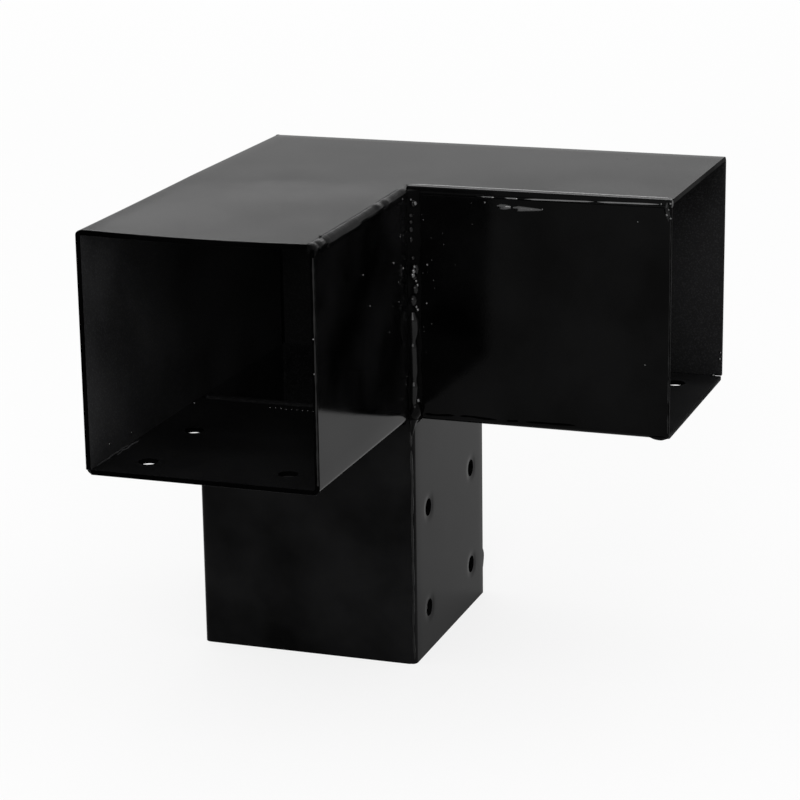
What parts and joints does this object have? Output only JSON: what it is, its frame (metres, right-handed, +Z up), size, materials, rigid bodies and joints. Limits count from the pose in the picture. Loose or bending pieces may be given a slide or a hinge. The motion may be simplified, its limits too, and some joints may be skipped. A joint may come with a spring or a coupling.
{
  "type": "three way corner connector",
  "caption": "Black welded steel corner bracket: level beam sockets at a right angle over an upright square post sleeve, each with screw holes.",
  "frame": {"origin": "on the post's axis, at the open lower end of the sleeve", "axes": "+Z up along the post; arm A runs along -Y and arm B along +X from the corner over the sleeve"},
  "size_m": [0.2043, 0.2043, 0.204],
  "materials": {
    "black_powder_coat": "gloss"
  },
  "bodies": {
    "root": {"top_shell": "black_powder_coat", "arm_a_angle": "black_powder_coat", "arm_b_angle": "black_powder_coat", "post_sleeve": "black_powder_coat", "outer_corner_weld": "black_powder_coat", "arm_a_top_weld": "black_powder_coat", "arm_b_top_weld": "black_powder_coat", "arm_a_floor_weld": "black_powder_coat", "arm_b_floor_weld": "black_powder_coat", "sleeve_front_weld": "black_powder_coat", "sleeve_right_weld": "black_powder_coat", "sleeve_left_weld": "black_powder_coat", "sleeve_back_weld": "black_powder_coat", "arm_a_root_weld": "black_powder_coat", "arm_b_root_weld": "black_powder_coat", "inner_corner_weld": "black_powder_coat"}
  },
  "joints": []
}
